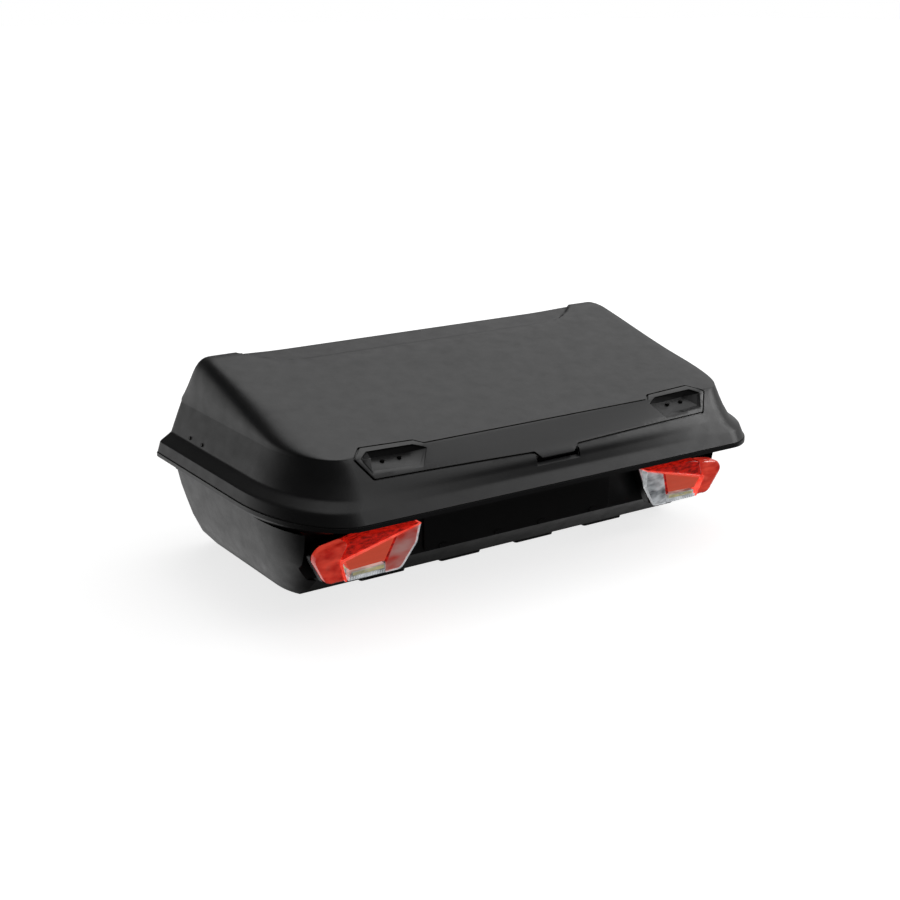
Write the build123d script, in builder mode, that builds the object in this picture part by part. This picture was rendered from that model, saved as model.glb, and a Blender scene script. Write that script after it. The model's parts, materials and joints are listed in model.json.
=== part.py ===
from build123d import *
from math import atan2, cos, degrees, hypot, radians, sin
import os

os.makedirs("parts", exist_ok=True)

# Frame: X along the box, -Y the lamp side, +Y the car side, +Z up, z = 0 the ground.
# ---------------------------------------------------------------- driving dimensions, mm
half_length = 670.0        # half of the overall length, at the lip of the base
front = -375.0             # lamp side of the lip
back = 356.0               # car side of the lip
height = 485.0             # top of the closed lid
base_top = 244.0           # top of the lip of the base
lid_bottom = 246.5         # lower edge of the lid
floor_z = 17.0             # underside of the tub
wall = 4.0                 # wall of the moulded shells
lamp_wall = -205.0         # face of the tub that the plate panel is fixed to
bay_bottom, bay_top = 80.0, 200.0      # bay under the rim for the panel and the lamps
bay_half = 588.0

# the lid: levels of the stepped skirt, then the long slope of the top
crease_y, crease_z = -284.5, 366.5     # front crease, where the top begins
top_slope = 0.236                      # rise of the top over its depth
ridge_y, deck_slope = 125.0, 0.17      # the top gets flatter behind this line

# the lid's hinge axis and its opening
hinge_y, hinge_z = 367.0, 245.0
hinge_x = 430.0
knuckle_r, pin_r = 8.0, 3.0
running = 0.05                         # radial clearance of a turning pin

# gas struts: base pivot, and the lid's pivot when closed (y, z)
strut_x = 592.0
strut_base = (20.0, 155.0)
strut_lid = (235.0, 300.0)
strut_angle = degrees(atan2(strut_lid[1] - strut_base[1], strut_lid[0] - strut_base[0]))
strut_length = hypot(strut_lid[0] - strut_base[0], strut_lid[1] - strut_base[1])

# handle panel plane: 45 degrees, facing forward and up
panel_plane = Plane(origin=(0, -310, 340), x_dir=(1, 0, 0), z_dir=(0, -1, 1))
panel_proud = 1.0
panel_depth = 4.0
panel_gap = 3.0

# latch shaft and release lever
shaft_y, shaft_z, shaft_r = -283.0, 322.0, 5.0
latch_x = 400.0
lever_y, lever_z = -331.0, 302.0

# lamps
lamp_back, lamp_front = -228.0, -284.0
lamp_lean = 9.6


# ---------------------------------------------------------------- shared shapes
def plan_ring(z, half, y_front, y_back, corner_x, corner_y, rear_r, bow=0.0):
    """Plan outline at height z: elliptical front corners, round rear ones, bowed front."""
    with BuildSketch(Plane.XY.offset(z)) as ring:
        with BuildLine():
            left, right = -half + corner_x, half - corner_x
            if bow:
                ThreePointArc((left, y_front), (0, y_front - bow), (right, y_front))
            else:
                Line((left, y_front), (right, y_front))
            EllipticalCenterArc((right, y_front + corner_y), corner_x, corner_y, 270, arc_size=90)
            Line((half, y_front + corner_y), (half, y_back - rear_r))
            CenterArc((half - rear_r, y_back - rear_r), rear_r, 0, 90)
            Line((half - rear_r, y_back), (-half + rear_r, y_back))
            CenterArc((-half + rear_r, y_back - rear_r), rear_r, 90, 90)
            Line((-half, y_back - rear_r), (-half, y_front + corner_y))
            EllipticalCenterArc((left, y_front + corner_y), corner_x, corner_y, 180, arc_size=90)
        make_face()
    return ring.sketch


def lid_outer(inset, low=lid_bottom):
    """The lid's outer form, moved inwards by inset: skirt rings cut by the shape of the top."""
    levels = [  # z, half, front, back, corner_x, corner_y, rear_r, bow
        (low, 668, -373, 354, 150, 290, 14, 0),
        (271, 661, -357, 352, 140, 275, 14, 0),
        (290, 633, -342, 350, 130, 250, 14, 8),
        (317, 624, -320.7, 347, 125, 235, 14, 21),
        (363, 607, -286.5, 344, 100, 190, 14, 0),
        (500, 604, -240, 255, 95, 170, 14, 0),
    ]
    with BuildPart() as form:
        loft([plan_ring(z, half - inset, y_front + inset, y_back - inset,
                        corner_x - inset, corner_y - inset, rear_r - min(inset, 12), bow)
              for z, half, y_front, y_back, corner_x, corner_y, rear_r, bow in levels], ruled=True)
        with BuildSketch(Plane.YZ):
            with BuildLine():
                ridge_z = crease_z + top_slope * (ridge_y - crease_y)
                top_y = ridge_y + (height - ridge_z) / deck_slope
                Polyline((-420, 200), (-420, crease_z + top_slope * (-420 - crease_y) - inset),
                         (ridge_y, ridge_z - inset), (top_y, height - inset),
                         (258 - inset, height - inset), (292 - inset, 452 - inset),
                         (420, 252), (420, 200), close=True)
            make_face()
        extrude(amount=half_length, both=True, mode=Mode.INTERSECT)
        slope_start = Plane.XZ.offset(450)
        start_z = crease_z + top_slope * (-450 - crease_y) - inset
        with BuildSketch(slope_start):
            with BuildLine():
                shoulder_x, flat_x, drop = 612 - inset, 552 - inset, 80
                Line((-flat_x, start_z), (flat_x, start_z))
                EllipticalCenterArc((flat_x, start_z - drop), 60, drop, 0, arc_size=90)
                EllipticalCenterArc((-flat_x, start_z - drop), 60, drop, 90, arc_size=90)
                Line((shoulder_x, start_z - drop), (half_length, start_z - drop - 40))
                Line((-shoulder_x, start_z - drop), (-half_length, start_z - drop - 40))
                Polyline((half_length, start_z - drop - 40), (half_length, -200),
                         (-half_length, -200), (-half_length, start_z - drop - 40))
            make_face()
        extrude(amount=920, dir=(0, 1, top_slope), mode=Mode.INTERSECT)
    return form.part


def panel_outline(grow=0.0):
    """Outline of the handle panel on its own plane, with the finger tab below the middle."""
    half = [(0, 36.8), (318, 36.8), (334, 53), (462, 60.5), (492, 30.4),
            (462.5, -19.4), (61, -36.8), (45, -53.7), (0, -53.7)]
    with BuildSketch(panel_plane) as outline:
        with BuildLine():
            Polyline(*half)
            Polyline(*[(-x, v) for x, v in half])
        make_face()
        offset(amount=grow, kind=Kind.INTERSECTION)
    return outline.sketch


def write(name, part):
    part.label = name
    export_step(part, f"parts/{name}.step")


side_name = {-1: "left", 1: "right"}

# ---------------------------------------------------------------- base tub
tub_outside = [  # z, half, front, back, corner_x, corner_y, rear_r
    (197, 625, -262, 355, 70, 190, 26), (160, 619, -260, 353, 65, 180, 30),
    (125, 611, -257, 350, 60, 170, 36), (85, 602, -225, 344, 60, 150, 44),
    (45, 588, -190, 334, 60, 130, 54), (floor_z, 565, -165, 318, 60, 110, 60)]
tub_inside = [
    (205, 620, -200, 351, 60, 140, 22), (160, 614, -200, 349, 60, 138, 26),
    (125, 606, -200, 346, 60, 135, 32), (85, 597, -197, 340, 60, 130, 40),
    (47, 583, -150, 330, 58, 120, 50), (floor_z + wall, 560, -120, 314, 56, 105, 56)]
toe = [(-400, bay_bottom), (-203, bay_bottom), (-155, 45), (-125, 10), (-400, 10)]
toe_half = 552.0
mount_points = [(x, y) for x in (-217, 217) for y in (-60, 160)]
with BuildPart() as base_tub:
    lip = (half_length, front, back, 150, 290, 14)
    loft([plan_ring(base_top, *lip), plan_ring(235, *lip)], ruled=True)
    loft([plan_ring(235, 634, -345, back, 122, 245, 14),          # shelf under the rim
          plan_ring(196, 625, -262, 355, 100, 210, 14)], ruled=True)
    loft([plan_ring(*ring) for ring in tub_outside], ruled=True)
    with BuildSketch(Plane.XY.offset(bay_bottom)):       # bay for lamps and plate panel
        with Locations((0, (lamp_wall - 400) / 2)):
            Rectangle(2 * bay_half, 400 + lamp_wall)
    extrude(amount=bay_top - bay_bottom, mode=Mode.SUBTRACT)
    with BuildSketch(Plane.YZ):                          # the front runs back below the lamps
        with BuildLine():
            Polyline(*toe, close=True)
        make_face()
    extrude(amount=toe_half, both=True, mode=Mode.SUBTRACT)
    loft([plan_ring(*ring) for ring in tub_inside], ruled=True, mode=Mode.SUBTRACT)
    loft([plan_ring(204, 618, -258, 351, 98, 200, 26),
          plan_ring(235, 630, -341, 352, 118, 240, 26)], ruled=True, mode=Mode.SUBTRACT)
    loft([plan_ring(235, 630, -341, 352, 118, 240, 26),
          plan_ring(base_top, 658, -363, 352, 120, 255, 26)], ruled=True, mode=Mode.SUBTRACT)
    with Locations(*[(x, y, 0) for x, y in mount_points]):
        Cylinder(4.5, 60, align=(Align.CENTER, Align.CENTER, Align.MIN), mode=Mode.SUBTRACT)
    for side in (-1, 1):                                 # cable openings behind the lamps
        with Locations((side * 450, lamp_wall, 140)):
            Box(60, 30, 36, mode=Mode.SUBTRACT)
write("base_tub", base_tub.part)

with BuildPart() as rim_seal:
    extrude(plan_ring(base_top, 667, -372, back - 3, 147, 287, 11), amount=2.0)
    extrude(plan_ring(base_top, 662, -367, back - 8, 142, 282, 6), amount=2.0, mode=Mode.SUBTRACT)
write("rim_seal", rim_seal.part)

with BuildPart() as floor_mat:
    with BuildSketch(Plane.XY.offset(floor_z + wall)):
        with Locations((0, 95)):
            RectangleRounded(1040, 380, 30)
        with Locations(*mount_points):
            Circle(11, mode=Mode.SUBTRACT)
    extrude(amount=3)
    with BuildSketch(Plane.XY.offset(floor_z + wall + 3)):    # anti-slip ribs of the mat
        with GridLocations(0, 40, 1, 9):
            with Locations((0, 95)):
                Rectangle(960, 4)
        with Locations(*mount_points):
            Circle(14, mode=Mode.SUBTRACT)
    extrude(amount=1.5)
write("floor_mat", floor_mat.part)

# ---------------------------------------------------------------- underside
skid_height = 10.0
for side in (-1, 1):
    with BuildPart() as mount_rail:
        with BuildSketch(Plane.XY.offset(floor_z - 4)):
            with Locations((side * 217, 50)):
                RectangleRounded(42, 300, 6)
            with Locations((side * 217, -60), (side * 217, 160)):
                Circle(4.5, mode=Mode.SUBTRACT)
        extrude(amount=4)
    write(f"mount_rail_{side_name[side]}", mount_rail.part)
    with BuildPart() as skid_pads:                       # ribbed pads that slide on a platform
        for x_in, x_out in ((49, 170), (263, 390)):
            with BuildSketch(Plane.XY.offset(floor_z)):
                with Locations((side * (x_in + x_out) / 2, 75)):
                    RectangleRounded(x_out - x_in, 400, 10)
            extrude(amount=-skid_height, taper=18)
            with Locations((side * (x_in + x_out) / 2, 75, floor_z - skid_height)):
                with GridLocations(0, 90, 1, 4):
                    Box(x_out - x_in - 30, 60, 5, align=(Align.CENTER, Align.CENTER, Align.MIN),
                        mode=Mode.SUBTRACT)
    write(f"skid_pads_{side_name[side]}", skid_pads.part)

foot_places = [(x, y) for x in (-470, 470) for y in (-55, 225)]
with BuildPart() as corner_feet:
    with Locations(*[(x, y, 0) for x, y in foot_places]):
        Cylinder(27, floor_z, align=(Align.CENTER, Align.CENTER, Align.MIN))
    fillet(corner_feet.edges().group_by(Axis.Z)[0], 5)
    with Locations(*[Location((x, y, 0), (180, 0, 0)) for x, y in foot_places]):
        CounterBoreHole(3, 9, 6)
write("corner_feet", corner_feet.part)

# ---------------------------------------------------------------- number plate panel
with BuildPart() as number_plate_panel:
    with BuildSketch(Plane.XZ.offset(-lamp_wall)):
        with Locations((0, (bay_bottom + bay_top) / 2 - 1)):
            RectangleRounded(540, bay_top - bay_bottom - 6, 12)
    extrude(amount=5)
    fillet(number_plate_panel.faces().sort_by(Axis.Y)[0].edges(), 1.2)
write("number_plate_panel", number_plate_panel.part)

with BuildPart() as plate_clips:
    for clip_x in (-219, -63, 63, 219):
        with Locations((clip_x, lamp_wall - 6, bay_bottom + 8)):
            Box(22, 2, 9)
        with Locations((clip_x, lamp_wall - 6, bay_bottom + 12)):
            Box(10, 2, 5)
write("plate_clips", plate_clips.part)

# ---------------------------------------------------------------- tail lamps
lamp_outline = [(325, 187), (367, 84), (552, 83), (585, 148), (566, 170), (465, 187)]
inner_zone = [(318, 186.8), (390, 168.7), (411, 109), (407, 70), (330, 70)]
strip_zone = [(411, 109), (500, 106), (506, 70), (407, 70)]
reflector_zone = [(393, 165), (508, 134), (498, 108.5), (414, 111)]


def zone_prism(points, side, y_start=-220.0, depth=90.0):
    """A block cut to an outline seen from the lamp side."""
    with BuildPart() as prism:
        with BuildSketch(Plane.XZ.offset(-y_start)):
            with BuildLine():
                Polyline(*[(side * x, z) for x, z in points], close=True)
            make_face()
        extrude(amount=depth)
    return prism.part


def lamp_form(side, shrink=0.0, front_inset=0.0):
    """Outer form of a lamp: its outline with round corners, cut off by the leaning front."""
    with BuildPart() as form:
        with BuildSketch(Plane.XZ.offset(-lamp_back)):
            with BuildLine():
                Polyline(*[(side * x, z) for x, z in lamp_outline], close=True)
            make_face()
            offset(amount=-shrink - 0.01, kind=Kind.INTERSECTION)
        extrude(amount=80)
        lean_plane = Plane(origin=(0, lamp_front + front_inset, 195), x_dir=(1, 0, 0),
                           z_dir=(0, -cos(radians(lamp_lean)), -sin(radians(lamp_lean))))
        split(bisect_by=lean_plane, keep=Keep.BOTTOM)
        corners = form.edges().filter_by(Axis.Y).sort_by(lambda edge: abs(edge.center().X))
        fillet(corners[1:], 9 - shrink)
    return form.part


lens_back = -248.0
for side in (-1, 1):
    name = side_name[side]
    outer, inner = lamp_form(side), lamp_form(side, 2.5, 2.5)
    with BuildPart() as lamp_housing:
        add(outer)
        split(bisect_by=Plane.XZ.offset(-lens_back), keep=Keep.BOTTOM)
        add(inner, mode=Mode.SUBTRACT)
        with BuildSketch(Plane.XZ.offset(-lamp_back)):
            with BuildLine():
                Polyline(*[(side * x, z) for x, z in lamp_outline], close=True)
            make_face()
            offset(amount=-1, kind=Kind.INTERSECTION)
        extrude(amount=3)
        with Locations((side * 450, lamp_back + 8, 140)):
            Box(44, 40, 24, mode=Mode.SUBTRACT)
    write(f"lamp_housing_{name}", lamp_housing.part)

    with BuildPart() as lens_shell:
        add(outer)
        split(bisect_by=Plane.XZ.offset(-lens_back), keep=Keep.TOP)
        add(inner, mode=Mode.SUBTRACT)
    with BuildPart() as red_lens:
        add(lens_shell.part)
        for zone in (inner_zone, strip_zone, reflector_zone):
            add(zone_prism(zone, side), mode=Mode.SUBTRACT)
    write(f"red_lens_{name}", red_lens.part)
    with BuildPart() as inner_lens:
        add(lens_shell.part)
        add(zone_prism(inner_zone, side), mode=Mode.INTERSECT)
        add(zone_prism(reflector_zone, side), mode=Mode.SUBTRACT)
    write({-1: "fog_lens_left", 1: "reverse_lens_right"}[side], inner_lens.part)
    with BuildPart() as strip_lens:
        add(lens_shell.part)
        add(zone_prism(strip_zone, side), mode=Mode.INTERSECT)
        add(zone_prism(reflector_zone, side), mode=Mode.SUBTRACT)
    write(f"strip_lens_{name}", strip_lens.part)
    with BuildPart() as retro_reflector:
        add(lens_shell.part)
        add(zone_prism(reflector_zone, side), mode=Mode.INTERSECT)
    write(f"retro_reflector_{name}", retro_reflector.part)
    with BuildPart() as lamp_reflector:                  # bowl plate with two lamp seats
        with BuildSketch(Plane.XZ.offset(-lamp_back + 7)):
            with BuildLine():
                Polyline(*[(side * x, z) for x, z in lamp_outline], close=True)
            make_face()
            offset(amount=-7, kind=Kind.INTERSECTION)
            with Locations((side * 376, 130), (side * 545, 122)):
                Circle(9, mode=Mode.SUBTRACT)
        extrude(amount=2)
        for seat_x, seat_z in ((376, 130), (545, 122)):
            with BuildSketch(Plane.XZ.offset(-lamp_back + 9)):
                with Locations((side * seat_x, seat_z)):
                    Circle(12)
                    Circle(9, mode=Mode.SUBTRACT)
            extrude(amount=6)
    write(f"lamp_reflector_{name}", lamp_reflector.part)
    with BuildPart() as lamp_bulbs:
        for seat_x, seat_z in ((376, 130), (545, 122)):
            with Locations(Location((side * seat_x, lamp_back - 3, seat_z), (90, 0, 0))):
                Cylinder(8.5, 13, align=(Align.CENTER, Align.CENTER, Align.MIN))
                with Locations((0, 0, 13)):
                    Sphere(7.5)
    write(f"lamp_bulbs_{name}", lamp_bulbs.part)
    with BuildPart() as lamp_bracket:                    # sits between the tub and the housing
        with BuildSketch(Plane.XZ.offset(-lamp_wall)):
            with BuildLine():
                Polyline(*[(side * x, z) for x, z in
                           ((400, 100), (540, 100), (540, 150), (400, 172))], close=True)
            make_face()
            with Locations((side * 450, 140)):
                Rectangle(48, 28, mode=Mode.SUBTRACT)
        extrude(amount=lamp_wall - lamp_back)
    write(f"lamp_bracket_{name}", lamp_bracket.part)

# ---------------------------------------------------------------- lid shell
pocket_screw_x, pocket_screw_y, pocket_screw_z = (380.4, 422.5), -284.0, 344.5
pocket_slope = 23.3                    # the pockets' floors lean towards the lamp side
pocket_floor = [(441, 17.4), (356, 12), (343, -41.4), (467, -37)]     # x, and up the floor
pocket_rim = [(460, 48), (342, 42.4), (317, 25.5), (478, 28.3)]       # x, and up the panel
pocket_mouth = pocket_rim[:3] + [(343, -17.4), (467, -13.4)] + pocket_rim[3:]


def pocket_space(side, grow=0.0):
    """Space of an end pocket: a leaning floor and flared walls, up to the handle panel."""
    floor_plane = Plane(origin=(0, pocket_screw_y, pocket_screw_z - grow), x_dir=(1, 0, 0),
                        z_dir=(0, -sin(radians(pocket_slope)), cos(radians(pocket_slope))))
    with BuildPart() as space:
        for plane, corners in ((floor_plane, pocket_floor), (panel_plane, pocket_rim)):
            with BuildSketch(plane):
                with BuildLine():
                    Polyline(*[(side * x, v) for x, v in corners[::side]], close=True)
                make_face()
                offset(amount=grow + 0.01, kind=Kind.INTERSECTION)
        loft(ruled=True)
    return space.part


def pocket_opening(side, grow=0.0):
    """Way into an end pocket from the front, through the handle panel."""
    with BuildPart() as opening:
        with BuildSketch(panel_plane.offset(-1)):        # starts just inside the pocket's rim
            with BuildLine():
                Polyline(*[(side * x, v) for x, v in pocket_mouth[::side]], close=True)
            make_face()
            offset(amount=grow - 0.4, kind=Kind.INTERSECTION)
        extrude(amount=60, dir=(0, -1, 1))
    return opening.part


cup_half, cup_low, cup_high = 60.0, 285.0, 308.0
side_screw_at = [(629.8, screw_y, 300.0) for screw_y in (171.0, 237.0)]

with BuildPart() as panel_zone:
    extrude(panel_outline(panel_gap + 5), amount=60, both=True)
with BuildPart() as cavity:                              # inside of the lid, but for the panel's back
    add(lid_outer(wall, lid_bottom - 2))
    add(panel_zone.part, mode=Mode.SUBTRACT)
with BuildPart() as panel_cavity:                        # inside of the lid behind the panel
    add(lid_outer(panel_depth + wall, lid_bottom - 2))
    add(panel_zone.part, mode=Mode.INTERSECT)
with BuildPart() as panel_seat:                          # shallow recess that the panel sits in
    extrude(panel_outline(panel_gap), amount=60, both=True)
    add(lid_outer(panel_depth), mode=Mode.SUBTRACT)
with BuildPart() as lid_shell:
    add(lid_outer(0))
    for hollow in (cavity, panel_cavity, panel_seat):
        add(hollow.part, mode=Mode.SUBTRACT)
    for side in (-1, 1):                                 # openings for the end pockets
        add(pocket_space(side, 4.5), mode=Mode.SUBTRACT)
        add(pocket_opening(side, 4.5), mode=Mode.SUBTRACT)
        for x, y, z in side_screw_at:
            with Locations(Plane(origin=(side * x, y, z), x_dir=(0, 1, 0),
                                 z_dir=(side * 0.949, 0, 0.316))):
                Cylinder(2.1, 30, mode=Mode.SUBTRACT)
    with Locations((0, -335, (cup_low + cup_high) / 2)): # opening behind the finger tab
        Box(2 * cup_half, 60, cup_high - cup_low, mode=Mode.SUBTRACT)
write("lid_shell", lid_shell.part)

# ---------------------------------------------------------------- lid fittings
with BuildPart() as lid_frame:                           # stiffening ring inside the edge
    add(lid_outer(wall, lid_bottom - 2))
    with Locations((0, 0, lid_bottom + 2)):
        Box(3 * half_length, 3 * half_length, 10, align=(Align.CENTER, Align.CENTER, Align.MIN),
            mode=Mode.INTERSECT)
    extrude(plan_ring(lid_bottom, 634, -336, 326, 108, 230, 14), amount=20, mode=Mode.SUBTRACT)
write("lid_frame", lid_frame.part)

with BuildPart() as panel_zone_only:
    extrude(panel_outline(), amount=60, both=True)
pocket_trays = []
for side in (-1, 1):
    with BuildPart() as pocket_tray:                     # walls and floor of a pocket
        add(pocket_space(side, 3.5))
        add(pocket_opening(side, 3.5))
        add(panel_zone_only.part, mode=Mode.INTERSECT)
        add(lid_outer(0), mode=Mode.INTERSECT)
    pocket_trays.append(pocket_tray.part)
with BuildPart() as handle_panel:
    add(panel_zone_only.part)
    add(lid_outer(-panel_proud), mode=Mode.INTERSECT)
    add(lid_outer(panel_depth), mode=Mode.SUBTRACT)
    for side, tray in zip((-1, 1), pocket_trays):        # end pockets, open to the front
        add(tray)
        add(pocket_space(side), mode=Mode.SUBTRACT)
        add(pocket_opening(side), mode=Mode.SUBTRACT)
        with Locations(*[(side * x, pocket_screw_y, pocket_screw_z + 6) for x in pocket_screw_x]):
            Hole(2.6, 46)
write("handle_panel", handle_panel.part)

with BuildPart() as pocket_screws:
    for side in (-1, 1):
        for x in pocket_screw_x:
            with Locations((side * x, pocket_screw_y, pocket_screw_z - 1)):
                Cylinder(5, 4, align=(Align.CENTER, Align.CENTER, Align.MIN))
                Cylinder(2.5, 8, align=(Align.CENTER, Align.CENTER, Align.MAX))
    add(handle_panel.part, mode=Mode.SUBTRACT)           # heads seated on the leaning floors
write("pocket_screws", pocket_screws.part)

with BuildPart() as badge_plate:                         # plain trapezoid plate, no lettering
    with BuildSketch(panel_plane):
        with BuildLine():
            Polyline((-52, 12), (52, 12), (34, -20), (-34, -20), close=True)
        make_face()
    extrude(amount=60, both=True)
    add(lid_outer(-panel_proud - 0.8), mode=Mode.INTERSECT)
    add(lid_outer(-panel_proud), mode=Mode.SUBTRACT)
write("badge_plate", badge_plate.part)

# ---------------------------------------------------------------- release lever and lock
cup_front, cup_back, cup_wall = -352.0, -316.0, 2.0
lever_pin_r, lever_hub_r, lever_middle, lever_width = 1.5, 3.5, 11.0, 90.0
lock_x, lock_z, lock_r = -46.0, 298.0, 6.0
cup_middle_z, cup_height = (cup_low + cup_high) / 2, cup_high - cup_low
lever_axis = Location((0, lever_y, lever_z), (0, 90, 0))
with BuildPart() as handle_cup:                          # finger cup behind the tab
    with Locations((0, (cup_front + cup_back) / 2, cup_middle_z)):
        Box(2 * cup_half, cup_back - cup_front, cup_height)
    with Locations((0, (cup_front + cup_back) / 2 - cup_wall, cup_middle_z)):
        Box(2 * (cup_half - cup_wall), cup_back - cup_front, cup_height - 2 * cup_wall,
            mode=Mode.SUBTRACT)
    with Locations(Location((lock_x, cup_back, lock_z), (90, 0, 0))):
        Cylinder(lock_r + running, 10, mode=Mode.SUBTRACT)
    with Locations(lever_axis):
        Cylinder(lever_pin_r, 3 * cup_half, mode=Mode.SUBTRACT)
    add(lid_outer(1.0), mode=Mode.INTERSECT)
    add(handle_panel.part, mode=Mode.SUBTRACT)
write("handle_cup", handle_cup.part)

with BuildPart() as lever_pin:
    with Locations(lever_axis):
        Cylinder(lever_pin_r, 2 * cup_half)
write("lever_pin", lever_pin.part)

with BuildPart() as release_lever:                       # paddle with a curled finger edge
    with Locations(Location((lever_middle, lever_y, lever_z), (0, 90, 0))):
        Cylinder(lever_hub_r, lever_width)
    with Locations((lever_middle, lever_y - 0.5, lever_z - 4.5)):
        Box(lever_width, 3, 8)
    with Locations((lever_middle, lever_y - 2.2, lever_z - 7.5)):
        Box(lever_width, 3, 2)
    with Locations(lever_axis):
        Cylinder(lever_pin_r + running, 3 * cup_half, mode=Mode.SUBTRACT)
write("release_lever", release_lever.part)

lock_face = -326.0
with BuildPart() as lock_barrel:
    with Locations(Location((lock_x, lock_face, lock_z), (-90, 0, 0))):
        Cylinder(lock_r, 20, align=(Align.CENTER, Align.CENTER, Align.MIN))
    with Locations((lock_x, lock_face + 18, lock_z + 5)):     # cam behind the cup
        Box(7, 3, 18)
    with Locations((lock_x, lock_face, lock_z)):              # key slot
        Box(1.2, 6, 6, mode=Mode.SUBTRACT)
write("lock_barrel", lock_barrel.part)

# ---------------------------------------------------------------- latch
with BuildPart() as latch_shaft:
    with Locations(Location((0, shaft_y, shaft_z), (0, 90, 0))):
        Cylinder(shaft_r, 2 * (latch_x + 36))
    with Locations((20, shaft_y - 11, shaft_z)):         # arm on the lever's side
        Box(10, 22, 6)
write("latch_shaft", latch_shaft.part)

bracket_top = 336.0
bracket_ears = (latch_x - 22.5, latch_x + 30.5)
hook_width, beak = 12.0, 12.0
striker_y, striker_z, striker_r = -267.0, 247.0, 3.0
for side in (-1, 1):
    name = side_name[side]
    with BuildPart() as latch_bracket:                   # plate under the pocket, two ears
        with Locations((side * (latch_x + 4), -278, bracket_top - 1.5)):
            Box(64, 28, 3)
        for ear_x in bracket_ears:
            with Locations((side * ear_x, shaft_y, (312 + bracket_top) / 2)):
                Box(3, 20, bracket_top - 312)
        with Locations(Location((side * latch_x, shaft_y, shaft_z), (0, 90, 0))):
            Cylinder(shaft_r + running, 90, mode=Mode.SUBTRACT)
        for x in pocket_screw_x:
            with Locations((side * x, pocket_screw_y, bracket_top - 6)):
                Cylinder(2.6, 20, mode=Mode.SUBTRACT)
    write(f"latch_bracket_{name}", latch_bracket.part)

    with BuildPart() as latch_hook:
        with BuildSketch(Plane.YZ.offset(side * latch_x - hook_width / 2)):
            with BuildLine():
                Polyline((shaft_y - 6, shaft_z), (shaft_y - 4, 238), (shaft_y + beak, 238),
                         (shaft_y + beak, 241), (shaft_y + 4, 246), (shaft_y + 6, shaft_z),
                         close=True)
            make_face()
            with Locations((shaft_y, shaft_z)):
                Circle(10)
                Circle(shaft_r, mode=Mode.SUBTRACT)
        extrude(amount=hook_width)
    write(f"latch_hook_{name}", latch_hook.part)

    with BuildPart() as striker:                         # loop on the shelf of the base
        for post_x in (latch_x - 14, latch_x + 14):
            with Locations((side * post_x, striker_y, 202)):
                Box(5, 7, striker_z + 4 - 202, align=(Align.CENTER, Align.CENTER, Align.MIN))
        with Locations((side * latch_x, striker_y + 8, 202)):
            Box(52, 22, 10, align=(Align.CENTER, Align.CENTER, Align.MIN))
        with Locations(Location((side * latch_x, striker_y, striker_z), (0, 90, 0))):
            Cylinder(striker_r, 28)
        add(base_tub.part, mode=Mode.SUBTRACT)
    write(f"striker_{name}", striker.part)

# ---------------------------------------------------------------- hinges
leaf_face = back + 3.0                                   # outer face of the base leaf
lid_leaf_face = back + 1.0
hinge_half, hinge_gap = 30.0, 24.0
base_screw_x, base_screw_z = (-18, 18), 214.0
lid_screw_x, lid_screw_z = (-15, 15), 274.0
for side in (-1, 1):
    name, centre_x = side_name[side], side * hinge_x
    knuckle = Location((centre_x, hinge_y, hinge_z), (0, 90, 0))
    with BuildPart() as hinge_base:
        with Locations((centre_x, leaf_face - 2.5, 221.5)):
            Box(2 * hinge_half, 5, 39)
        with Locations((centre_x, leaf_face + 3, 240)):
            Box(2 * hinge_half, 8, 6)
        with Locations(knuckle):
            Cylinder(knuckle_r, 2 * hinge_half)
            Cylinder(pin_r, 3 * hinge_half, mode=Mode.SUBTRACT)
        with Locations((centre_x, hinge_y + 1, hinge_z)):
            Box(hinge_gap, 20, 24, mode=Mode.SUBTRACT)
        add(base_tub.part, mode=Mode.SUBTRACT)
        for x in base_screw_x:
            with Locations(Location((centre_x + x, back, base_screw_z), (90, 0, 0))):
                Cylinder(2.2, 30, mode=Mode.SUBTRACT)
    write(f"hinge_base_{name}", hinge_base.part)

    with BuildPart() as hinge_lid:
        with Locations((centre_x, lid_leaf_face - 4, 269)):
            Box(48, 8, 34)
        with Locations((centre_x, lid_leaf_face + 3, 251)):
            Box(hinge_gap - 1, 12, 4)
        with Locations(knuckle):
            Cylinder(knuckle_r, hinge_gap - 1)
            Cylinder(pin_r + running, hinge_gap, mode=Mode.SUBTRACT)
        for x in lid_screw_x:
            with Locations(Location((centre_x + x, back, lid_screw_z), (90, 0, 0))):
                Cylinder(2.2, 30, mode=Mode.SUBTRACT)
        add(lid_outer(0), mode=Mode.SUBTRACT)
    write(f"hinge_lid_{name}", hinge_lid.part)

with BuildPart() as hinge_pins:
    for side in (-1, 1):
        with Locations(Location((side * hinge_x, hinge_y, hinge_z), (0, 90, 0))):
            Cylinder(pin_r, 2 * hinge_half)
        for end in (-1, 1):
            head_x = side * hinge_x + end * (hinge_half + 1)
            with Locations(Location((head_x, hinge_y, hinge_z), (0, 90, 0))):
                Cylinder(5, 2)
write("hinge_pins", hinge_pins.part)

for name, offsets, screw_z, face_y in (("hinge_base_screws", base_screw_x, base_screw_z, leaf_face),
                                       ("hinge_lid_screws", lid_screw_x, lid_screw_z, lid_leaf_face)):
    with BuildPart() as screws:
        for side in (-1, 1):
            for x in offsets:
                with Locations(Location((side * hinge_x + x, face_y, screw_z), (-90, 0, 0))):
                    Cylinder(4, 2.4, align=(Align.CENTER, Align.CENTER, Align.MIN))
                    Cylinder(2, 3, align=(Align.CENTER, Align.CENTER, Align.MAX))
    write(name, screws.part)

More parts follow.
